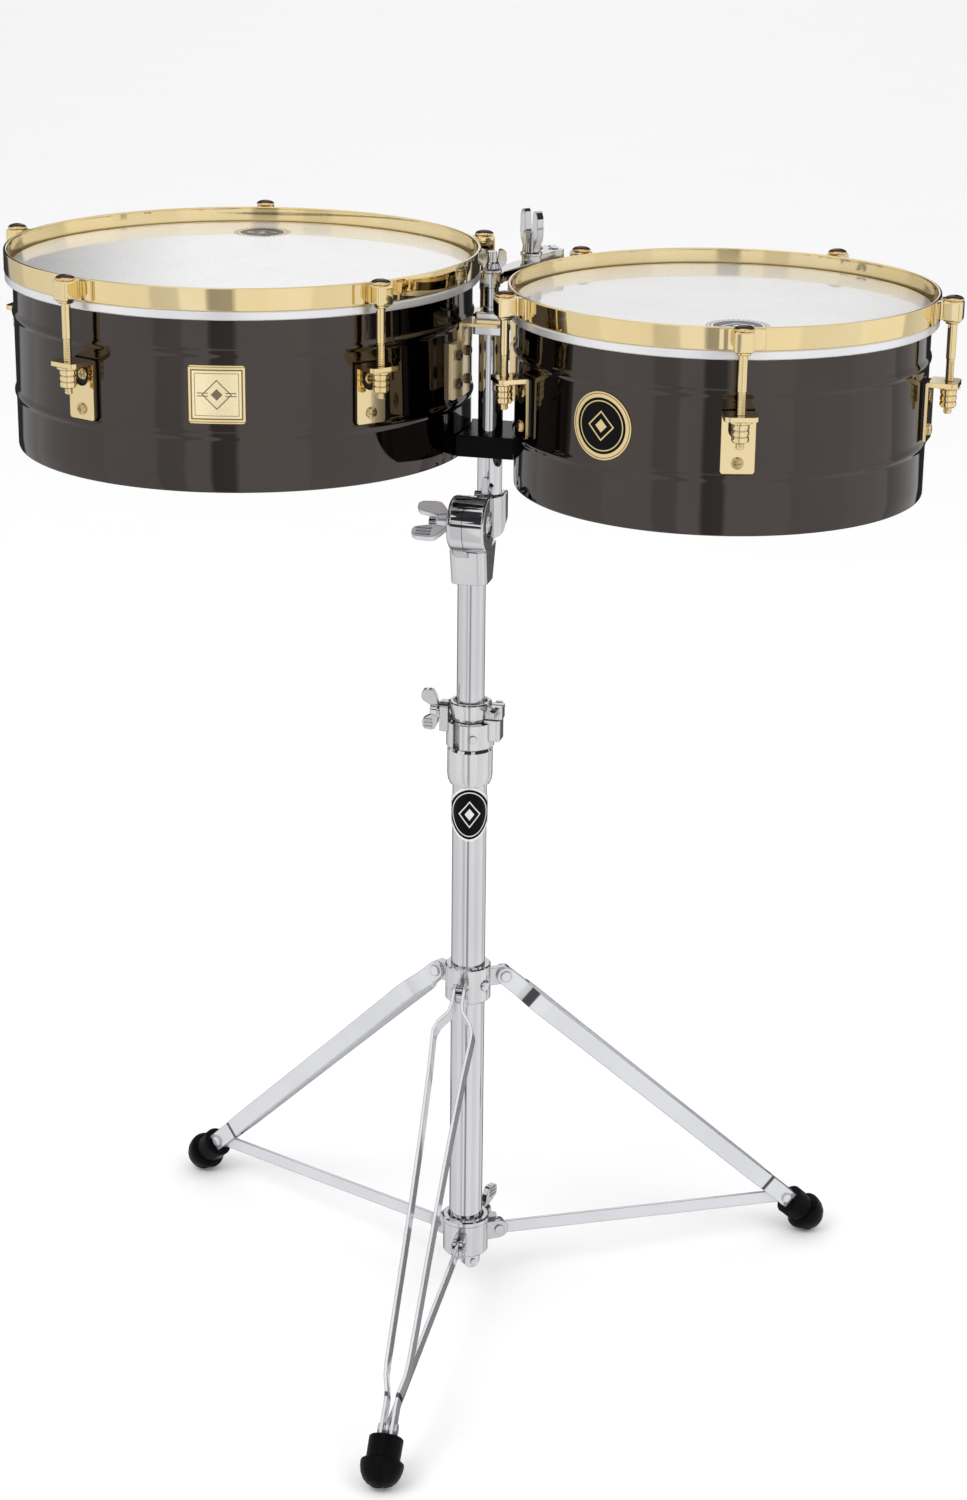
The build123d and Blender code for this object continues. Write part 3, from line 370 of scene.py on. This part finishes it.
def head_film(drum):
    """White, cloudy, glossy film with a faint texture and one printed mark."""
    mat, net = material(drum.name + "_film")
    x, y, z = drum.centre
    angle = math.radians(drum.mark_angle)
    outward = Vector((math.cos(angle), math.sin(angle), 0))
    sideways = Vector((-math.sin(angle), math.cos(angle), 0))
    centre = scene_point(x, y, z - HEAD_DROP) + outward * drum.mark_out
    across, along, point = net.plane(centre, outward, sideways)
    ink = printed_mark(net, across, along)
    cloud = net.noise(point, scale=14.0, detail=5.0, rough=0.6)
    grain = net.noise(point, scale=1100.0, rough=0.6)
    # both whites are scaled by the drum's painted brightness: painted shade on the right drum's
    # film
    dull, bright = (tuple(drum.tone * c for c in white)
                    for white in ((0.66, 0.66, 0.665), (0.74, 0.738, 0.735)))
    base = net.mix(net.remap(cloud, (0.3, 0.7)), dull, bright)
    net.bumped({
        "Base Color": net.mix(net.mul(ink, 0.985), base, (0.008, 0.008, 0.010)),
        "Roughness": net.remap(grain, (0.3, 0.7), (0.20, 0.30)),
        "Coat Weight": net.remap(ink, (0.0, 1.0), (1.0, 0.12)),
        "Specular IOR Level": net.remap(ink, (0.0, 1.0), (0.5, 0.10)),
        "Coat Roughness": 0.04,
        "Subsurface Weight": 0.12,
        "Subsurface Scale": 0.002,
    }, grain, strength=0.05)
    return mat


# ---------------------------------------------------------------- badges
BADGE_GOLD = (0.84, 0.66, 0.33)


def square_badge(net, across, up, brushed):
    """Pale field with square outlines, a lozenge and side bars; returns colour, metallic."""
    across, up = net.math("ABSOLUTE", across), net.math("ABSOLUTE", up)
    square = net.math("MAXIMUM", across, net.mul(up, 1.03))
    field = net.math("LESS_THAN", square, 0.0215)
    outline = net.add(net.band(square, 0.0206, 0.0219), net.band(square, 0.0236, 0.0242))
    inner = net.band(square, 0.0181, 0.0187)
    lozenge = net.add(across, up)
    motif = net.add(net.band(lozenge, 0.0114, 0.0128), net.below(lozenge, 0.0050))
    bars = net.mul(net.band(up, 0.0008, 0.0017), net.band(across, 0.0072, 0.0165))
    ink = net.add(motif, net.add(net.mul(bars, 1.0), net.add(outline, inner)), clamp=True)
    pale = net.mix(net.remap(brushed, (0.3, 0.7)), (0.93, 0.80, 0.52), (0.88, 0.74, 0.46))
    colour = net.mix(field, BADGE_GOLD, pale)
    colour = net.mix(net.mul(ink, 0.85), colour, (0.03, 0.022, 0.012))
    return colour, net.mul(net.sub(1.0, net.mul(ink, 0.7)), 0.55)


def disc_badge(net, across, up, edge, size, narrow):
    """Black disc with a ring and lozenge in the edge colour; returns colour, metallic."""
    squared = net.mul(across, across)
    if narrow:
        squared = net.mul(squared, 1.93)
    out = net.radius(squared, net.mul(up, up))
    black = net.add(net.below(out, 0.0236 * size),
                    net.band(out, 0.0266 * size, 0.0272 * size), clamp=True)
    ring = net.band(out, 0.0203 * size, 0.0212 * size)
    lozenge = net.add(net.mul(net.math("ABSOLUTE", across), 1.3 if narrow else 1.0),
                      net.math("ABSOLUTE", up))
    motif = net.add(net.band(lozenge, 0.0112 * size, 0.0128 * size),
                    net.below(lozenge, 0.0056 * size))
    light = net.add(motif, ring, clamp=True)
    colour = net.mix(black, edge, (0.003, 0.003, 0.0035))
    colour = net.mix(net.mul(light, 0.95), colour, edge)
    return colour, net.add(net.sub(1.0, black), light, clamp=True)


def round_badge(net, across, up, _):
    return disc_badge(net, across, up, BADGE_GOLD, size=1.0, narrow=False)


def oval_badge(net, across, up, _):
    colour, metallic = disc_badge(net, across, up, (0.80, 0.80, 0.79), size=1.03, narrow=True)
    return colour, net.mul(metallic, 0.4)


def badge(name, design, axis, radius, degrees, z):
    """Badge plate on a cylinder: axis (x, y), radius, angle and height of its centre."""
    mat, net = material(name)
    angle = math.radians(degrees)
    origin = scene_point(axis[0] + radius * math.cos(angle),
                         axis[1] + radius * math.sin(angle), z)
    tangent = Vector((-math.sin(angle), math.cos(angle), 0))
    across, up, point = net.plane(origin, tangent, Vector((0, 0, 1)))
    brushed = net.noise(net.scaled(point, (300.0, 300.0, 2600.0)), scale=1.0, detail=2.0)
    colour, metallic = design(net, across, up, brushed)
    net.bumped({
        "Base Color": colour,
        "Metallic": metallic,
        "Roughness": net.remap(brushed, (0.3, 0.7), (0.20, 0.34)),
        "Coat Weight": 0.04,
        "Specular IOR Level": 0.05,
    }, brushed, strength=0.08)
    return mat


# ---------------------------------------------------------------- mesh helpers
def make(name, part, mat, sharp, centre=(0, 0, 0)):
    """Object from (verts, faces) in mm; edges over sharp degrees stay sharp."""
    verts, faces = part
    verts = (verts + np.array(centre) + np.array([FRAME_X, FRAME_Y, 0.0])) / 1000.0
    mesh = bpy.data.meshes.new(name)
    mesh.from_pydata(verts.tolist(), [], faces)
    bm = bmesh.new()
    bm.from_mesh(mesh)
    bmesh.ops.remove_doubles(bm, verts=bm.verts, dist=1e-7)
    bmesh.ops.recalc_face_normals(bm, faces=bm.faces)
    bm.to_mesh(mesh)
    bm.free()
    mesh.shade_smooth()
    mesh.set_sharp_from_angle(angle=math.radians(sharp))
    obj = bpy.data.objects.new(name, mesh)
    bpy.context.scene.collection.objects.link(obj)
    mesh.materials.append(mat)
    return obj


def turned(part, degrees, out=0.0):
    """Move a part out along X, then turn it about Z."""
    verts, faces = part
    angle = math.radians(degrees)
    cos, sin = math.cos(angle), math.sin(angle)
    x, y, z = (verts + np.array([out, 0, 0])).T
    return np.stack([x * cos - y * sin, x * sin + y * cos, z], axis=1), faces


def joined(parts):
    all_verts, all_faces, count = [], [], 0
    for verts, faces in parts:
        all_verts.append(verts)
        all_faces += [[i + count for i in face] for face in faces]
        count += len(verts)
    return np.vstack(all_verts), all_faces


def lathe(profile, segs):
    """Turn a closed loop of (radius, z) about Z; points at radius 0 become poles."""
    verts, faces, rings = [], [], []
    for radius, z in profile:
        if radius < 1e-6:
            rings.append([len(verts)] * segs)
            verts.append((0, 0, z))
            continue
        rings.append(list(range(len(verts), len(verts) + segs)))
        for i in range(segs):
            angle = TAU * i / segs
            verts.append((radius * math.cos(angle), radius * math.sin(angle), z))
    for low, high in zip(rings, rings[1:] + rings[:1]):
        if low[0] == low[1] and high[0] == high[1]:
            continue    # pole to pole
        for i in range(segs):
            j = (i + 1) % segs
            faces.append(list(dict.fromkeys([low[i], low[j], high[j], high[i]])))
    return np.array(verts), faces


def rounded(points, radii, steps=5):
    """Closed (radius, z) outline with each corner rounded."""
    outline = []
    for i, (point, radius) in enumerate(zip(points, radii)):
        corner = Vector(point)
        back = Vector(points[i - 1]) - corner
        ahead = Vector(points[(i + 1) % len(points)]) - corner
        trim = min(radius / math.tan(back.angle(ahead) / 2),
                   back.length * 0.49, ahead.length * 0.49)
        start, end = corner + back.normalized() * trim, corner + ahead.normalized() * trim
        for k in range(steps + 1):
            t = k / steps
            outline.append(tuple((1 - t) ** 2 * start + 2 * t * (1 - t) * corner + t * t * end))
    return outline


def offset_profile(radius, points):
    """(offset from the shell radius, z) points as (radius, z)."""
    return [(radius + out, z) for out, z in points]


def block(x_range, half_width, z_range, bevel, cuts, taper=0.0):
    """Box with rounded edges; taper pulls the low end's corners in."""
    bm = bmesh.new()
    bmesh.ops.create_cube(bm, size=1.0)
    for vert in bm.verts:
        x, y, z = (int(c > 0) for c in vert.co)
        pull = 0.0 if z else taper
        vert.co = (x_range[x] + (-pull if x else pull),
                   (half_width - pull) * (1 if y else -1), z_range[z])
    bmesh.ops.bevel(bm, geom=bm.edges[:], offset=bevel, segments=cuts, profile=0.5,
                    affect="EDGES")
    bm.verts.ensure_lookup_table()
    verts = np.array([vert.co[:] for vert in bm.verts])
    faces = [[vert.index for vert in face.verts] for face in bm.faces]
    bm.free()
    return verts, faces


def thread(radius, depth, pitch, bottom, top, segs, rows_per_turn):
    """Shaft with a helical thread that fades out over one turn at each closed end."""
    length = top - bottom
    rows = int(length / pitch * rows_per_turn)
    verts, faces = [], []
    for k in range(rows + 1):
        rise = length * k / rows
        fade = min(1.0, rise / pitch, (rows - k) / rows * length / pitch)
        for i in range(segs):
            phase = (rise / pitch - i / segs) % 1.0
            cut = radius - depth * abs(phase * 2 - 1) * fade
            angle = TAU * i / segs
            verts.append((cut * math.cos(angle), cut * math.sin(angle), bottom + rise))
    for k in range(rows):
        for i in range(segs):
            j = (i + 1) % segs
            low, high = k * segs, (k + 1) * segs
            faces.append([low + i, low + j, high + j, high + i])
    for k, z in ((0, bottom), (rows, top)):
        centre = len(verts)
        verts.append((0, 0, z))
        for i in range(segs):
            faces.append([centre, k * segs + i, k * segs + (i + 1) % segs])
    return np.array(verts), faces


# ---------------------------------------------------------------- drums
def drum_piece(drum, suffix, part, mat, sharp, cad=None):
    obj = make(drum.name + suffix, part, mat, sharp, drum.centre)
    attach(obj, drum.name + "_drum")
    if cad:
        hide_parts(drum.name + cad)


def lug_angles(drum):
    return [drum.lug_angle + 360 // LUGS * k for k in range(LUGS)]


def at_lugs(drum, parts):
    """Copies of parts modelled about a rod axis, at every lug."""
    return joined([turned(part, angle, drum.radius + ROD_OUT)
                   for angle in lug_angles(drum) for part in parts])


def bead_points(out):
    """Both beads, from the top down, as (offset, z)."""
    return [(out + BEAD_RISE / 2 * (1 - math.cos(TAU * k / 12)),
             -depth + BEAD_HALF - 2 * BEAD_HALF * k / 12) for depth in BEADS for k in range(13)]


def shell(drum):
    """Thin wall with a rolled-in top and bottom lip."""
    low = -DEPTH
    points = [(-3.5, -13.7), (-1.6, -13.7), (-0.5, -14.1), (0, -14.9), (0, -30.0)]
    points += bead_points(0)
    points += [(0, -160.0), (0, low + 1.6), (-0.3, low + 0.6), (-1.2, low), (-4.6, low),
               (-5.4, low + 0.5), (-5.6, low + 1.4), (-5.2, low + 2.4), (-2.4, low + 2.5),
               (-1.3, low + 3.4), (-WALL, -160.0)]
    points += bead_points(-WALL)[::-1]
    points += [(-WALL, -30.0), (-WALL, -17.0), (-2.0, -16.0), (-3.5, -15.8)]
    part = lathe(offset_profile(drum.radius, points), DRUM_SEGS)
    drum_piece(drum, "_shell_body", part, NICKEL, 50, "_shell")


def collar(drum):
    """Flesh hoop that holds the film's edge."""
    points = [(0.8, -26.9), (5.6, -26.9), (6.5, -25.9), (6.5, -20.4), (5.5, -19.12),
              (0.8, -19.12)]
    outline = rounded(offset_profile(drum.radius, points), [0.6] * 6)
    part = lathe(outline, DRUM_SEGS)
    drum_piece(drum, "_collar", part, ALU, 40, "_flesh_hoop")


def head(drum):
    """Flat film folded down over the shell's top lip."""
    top = -HEAD_DROP
    flat = [((drum.radius - 0.8) * k / 12.0, top) for k in range(13)]
    fold = [(-0.2, top - 0.1), (0.3, top - 0.5), (0.6, top - 1.3), (0.7, top - 2.4),
            (0.7, -23.0), (0.2, -23.0), (0.2, top - 2.0), (-0.1, top - 0.9),
            (-0.6, top - 0.55)]
    profile = flat + offset_profile(drum.radius, fold) + [(0, top - 0.5)]
    part = lathe(profile, DRUM_SEGS)
    drum_piece(drum, "_head", part, head_film(drum), 30, "_drumhead")


def hoop(drum):
    """Rolled strap ring with an ear, its foot, a neck and two curved flanges at each lug."""
    radius = drum.radius
    rod = radius + ROD_OUT
    strap = offset_profile(radius, [(3.8, -19.0), (7.0, -19.0), (7.0, 0.0), (3.8, 0.0)])
    lug = [
        block((rod - 8.2, rod + 8.2), 8.2, (-17.4, 0.2), bevel=2.6, cuts=4),
        block((rod - 7.2, rod + 7.2), 7.2, (-20.2, -14.0), bevel=2.2, cuts=3, taper=2.0),
        block((radius + 5.6, radius + 14.0), 7.0, (-16.4, -0.8), bevel=1.2, cuts=2),
    ]
    # a flange is a straight bar bent round the hoop, starting 5 mm from the lug's centre
    bend = radius + 8.3
    verts, faces = block((0, 14.0), 1.5, (-17.8, -0.9), bevel=0.8, cuts=2)
    for side in (1, -1):
        out, angle = bend + verts[:, 1], side * (verts[:, 0] + 5.0) / bend
        curved = np.stack([out * np.cos(angle), out * np.sin(angle), verts[:, 2]], axis=1)
        lug.append((curved, faces))
    parts = [lathe(rounded(strap, [0.9, 0.9, 1.3, 1.3]), DRUM_SEGS)]
    parts += [turned(part, angle) for angle in lug_angles(drum) for part in lug]
    drum_piece(drum, "_hoop_ring", joined(parts), HOOP_GOLD, 35, "_hoop")


def rods(drum):
    """Tension rods: plain shaft, rolled thread and tip, with a separate domed cap."""
    shaft = lathe([(0, 0.4), (4.0, 0.4), (4.0, -48.6), (3.7, -49.4), (3.2, -49.9),
                   (0, -49.9)], 28)
    screw = thread(radius=3.62, depth=0.42, pitch=1.35, bottom=-95.4, top=-49.7, segs=22,
                   rows_per_turn=4)
    tip = lathe([(0, -95.2), (3.2, -95.2), (2.6, -96.3), (0, -96.3)], 22)
    part = at_lugs(drum, [shaft, screw, tip])
    drum_piece(drum, "_rods", part, GOLD, 28, "_tension_rods")

    dome = [(8.4 * math.sin(k * math.pi / 24), 0.9 + 3.6 * math.cos(k * math.pi / 24))
            for k in range(13)]
    cap = lathe(dome + [(8.35, 0.35), (7.9, 0.25), (0, 0.25)], 40)
    drum_piece(drum, "_rod_caps", at_lugs(drum, [cap]), DOME, 40)


def nuts(drum):
    """Lug nuts: a flange and three rounded rings, slightly six-sided below the flange."""
    profile = [(3.75, -72.6), (9.2, -72.6), (9.6, -73.0), (9.6, -74.4), (9.1, -74.8),
               (6.6, -75.0)]
    for ring in range(3):
        for k in range(7):
            angle = math.pi * k / 6
            profile.append((6.35 + 0.95 * math.sin(angle) ** 0.6,
                            -75.4 - 5.1 * ring - 2.3 * (1 - math.cos(angle))))
    profile += [(6.0, -90.7), (5.4, -91.0), (3.75, -91.0)]
    verts, faces = lathe(profile, 42)
    x, y, z = verts.T
    outside = (z < -75.1) * (np.hypot(x, y) > 5)
    squeeze = 1 - 0.045 * (0.5 + 0.5 * np.cos(6 * np.arctan2(y, x))) * outside
    six_sided = np.stack([x * squeeze, y * squeeze, z], axis=1)
    part = at_lugs(drum, [(six_sided, faces)])
    drum_piece(drum, "_nuts", part, GOLD, 34, "_lug_nuts")


for drum in (LEFT, RIGHT):
    for build in (shell, collar, head, hoop, rods, nuts):
        build(drum)


# ---------------------------------------------------------------- stand tubes
def tube(name, node, body, radius, bottom, top, mat):
    bore = radius - 1.5
    corners = [(bore, bottom), (radius, bottom), (radius, top), (bore, top)]
    obj = make(name, lathe(rounded(corners, [0.35] * 4, steps=3), 96), mat, 40)
    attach(obj, body)
    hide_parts(node)


tube("stand_main_tube", "main_tube", "stand_base", 15.875, 36.0, 576.0, CHROME)
tube("stand_upper_tube", "upper_tube", "upper_post", 12.7, 262.0, 738.0, CHROME_TUBE)

# ---------------------------------------------------------------- finishes of the CAD nodes
FINISH = {}             # anything not listed is chrome
for drum in (LEFT, RIGHT):
    FINISH.update({
        drum.name + "_lug_brackets": GOLD,
        drum.name + "_lug_gaskets": FIBRE,
        drum.name + "_shell_screws": screw_metal(drum),
        drum.name + "_mount_bracket": GOLD_FLAT,
    })
for side in ("front", "left", "right"):
    FINISH.update({side + "_leg": CHROME_LEG, side + "_strut": CHROME_STRUT,
                   side + "_foot": RUBBER})
for node in ("tilter_head", "tilter_base", "memory_lock", "height_clamp", "height_wing_bolt",
             "leg_collar", "leg_hub", "hub_wing_bolt", "bell_post_clamp", "mount_wing_nut",
             "bell_swivel_screw", "bell_post_screw"):
    FINISH[node] = CAST
FINISH.update({"tilter_wing_nut": CHROME_STRUT, "mount_block": NYLON, "clamp_bushing": NYLON})
FINISH["left_badge"] = badge("badge_square", square_badge, LEFT.centre[:2], LEFT.radius,
                             degrees=-78.7, z=LEFT.centre[2] - 90.0)
FINISH["right_badge"] = badge("badge_round", round_badge, RIGHT.centre[:2], RIGHT.radius,
                              degrees=-113.6, z=RIGHT.centre[2] - 91.0)
FINISH["stand_badge"] = badge("badge_oval", oval_badge, (0, 0), 16.5, degrees=-76.3, z=494.2)

for name, obj in NODES.items():
    if obj.hide_render:
        continue
    mesh = obj.data
    mesh.materials.clear()
    mesh.materials.append(FINISH.get(name, CHROME))
    for polygon in mesh.polygons:
        polygon.material_index = 0
    if "custom_normal" in mesh.attributes:
        mesh.attributes.remove(mesh.attributes["custom_normal"])
    weld = obj.modifiers.new("weld", "WELD")
    weld.merge_threshold = 1e-6
    mesh.shade_smooth()
    sharp = obj.modifiers.new("sharp", "EDGE_SPLIT")
    sharp.split_angle = math.radians(28)

# ---------------------------------------------------------------- floor
scene = bpy.context.scene
for obj in [o for o in bpy.data.objects if o.type in ("LIGHT", "CAMERA")]:
    bpy.data.objects.remove(obj)


def studio_floor():
    mat, net = material("studio_floor")
    patches = net.noise(net.coord(), scale=3.0)
    net.surface({"Base Color": net.mix(patches, (0.93, 0.93, 0.93), (0.95, 0.95, 0.95)),
                 "Roughness": 0.6, "Specular IOR Level": 0.1})
    bm = bmesh.new()
    bmesh.ops.create_grid(bm, x_segments=2, y_segments=2, size=14.0)
    mesh = bpy.data.meshes.new("floor")
    bm.to_mesh(mesh)
    bm.free()
    floor = bpy.data.objects.new("floor", mesh)
    mesh.materials.append(mat)
    scene.collection.objects.link(floor)
    floor.location = (0, 0, -0.0002)
    floor.visible_glossy = False


studio_floor()

# ---------------------------------------------------------------- camera
YAW, PITCH, ROLL = math.radians(13.41), math.radians(-19.28), math.radians(0.64)
CAMERA_PLACE = Vector((0.62494, -2.45673, 1.4637))


def add_camera():
    forward = Vector((-math.sin(YAW) * math.cos(PITCH), math.cos(YAW) * math.cos(PITCH),
                      math.sin(PITCH)))
    level = Vector((math.cos(YAW), math.sin(YAW), 0))
    upright = level.cross(forward)
    right = level * math.cos(ROLL) + upright * math.sin(ROLL)
    up = -level * math.sin(ROLL) + upright * math.cos(ROLL)
    data = bpy.data.cameras.new("camera")
    data.lens = 72.19
    data.sensor_width = 36.0
    data.sensor_fit = "AUTO"
    data.clip_start, data.clip_end = 0.05, 100.0
    camera = bpy.data.objects.new("camera", data)
    columns = (right, up, -forward, CAMERA_PLACE)
    camera.matrix_world = Matrix([[c[i] for c in columns] for i in range(3)] + [(0, 0, 0, 1)])
    scene.collection.objects.link(camera)
    scene.camera = camera


add_camera()

# ---------------------------------------------------------------- world
# (turn about Z, brightness) of the panels and flags round the horizon; 0.5 faces the camera
PANELS = [
    (0.0, 0.90), (0.018, 0.90), (0.022, 0.03), (0.085, 0.05), (0.095, 0.55), (0.150, 0.66),
    (0.155, 0.80), (0.300, 0.86), (0.305, 0.95), (0.385, 0.90), (0.390, 0.68), (0.425, 0.72),
    (0.430, 0.97), (0.462, 0.95), (0.466, 0.36), (0.498, 0.40), (0.502, 0.95), (0.600, 1.0),
    (0.605, 0.88), (0.700, 0.92), (0.705, 1.0), (0.790, 1.0), (0.795, 0.66), (0.850, 0.78),
    (0.905, 0.80), (0.912, 0.04), (0.972, 0.03), (0.978, 0.90),
]


def studio_world():
    """White to the camera and matt surfaces; pale panels and dark flags to mirrors."""
    world = bpy.data.worlds.new("studio")
    scene.world = world
    world.use_nodes = True
    net = Net(world.node_tree)
    direction = net.coord("Generated")
    x, y, z = net.split(direction)
    # zero towards -Y, growing towards +X
    angle = net.sub(net.math("ARCTAN2", x, net.mul(y, -1.0)), YAW)
    turn = net.math("FRACT", net.add(net.math("DIVIDE", angle, TAU), 1.5))
    ramp = net.node("ValToRGB", {0: turn})
    elements = ramp.color_ramp.elements
    ramp.color_ramp.interpolation = "LINEAR"
    while len(elements) < len(PANELS):
        elements.new(0.5)
    for element, (position, grey) in zip(elements, PANELS):
        element.position = position
        element.color = (grey, grey, min(grey * 1.01, 1.0), 1)
    # overhead: big soft pale patches over a darker ground
    top = net.remap(z, (0.45, 0.62), smooth=True)
    patches = net.noise(net.scaled(direction, (1.3, 1.3, 1.3)), scale=1.6, detail=1.0)
    overhead = net.mix(net.remap(patches, (0.46, 0.52), smooth=True),
                       (0.62, 0.62, 0.63), (1.0, 1.0, 1.0))
    mirrored = net.mix(top, ramp.outputs[0], overhead)
    is_glossy = net.node("LightPath", {}).outputs["Is Glossy Ray"]
    colour = net.mix(is_glossy, (1.0, 1.0, 1.0), mirrored)
    background = net.node("Background", {"Color": colour, "Strength": 1.0})
    net.node("OutputWorld", {"Surface": background.outputs[0]})


studio_world()


# ---------------------------------------------------------------- lights
def area_light(name, location, size, power):
    """Square soft light aimed at the middle of the stand, unseen in mirrors."""
    data = bpy.data.lights.new(name, "AREA")
    data.shape = "RECTANGLE"
    data.size = data.size_y = size
    data.energy = power
    light = bpy.data.objects.new(name, data)
    light.location = location
    light.rotation_mode = "QUATERNION"
    aim = Vector((0, 0, 0.6)) - Vector(location)
    light.rotation_quaternion = aim.to_track_quat("-Z", "Y")
    light.visible_glossy = False
    scene.collection.objects.link(light)


area_light("key", (-1.6, -2.2, 3.2), size=2.4, power=45.0)
area_light("fill", (2.4, -1.2, 2.6), size=2.0, power=18.0)

scene.view_settings.view_transform = "Standard"
scene.view_settings.look = "None"
scene.view_settings.exposure = 0.0
scene.view_settings.gamma = 1.0
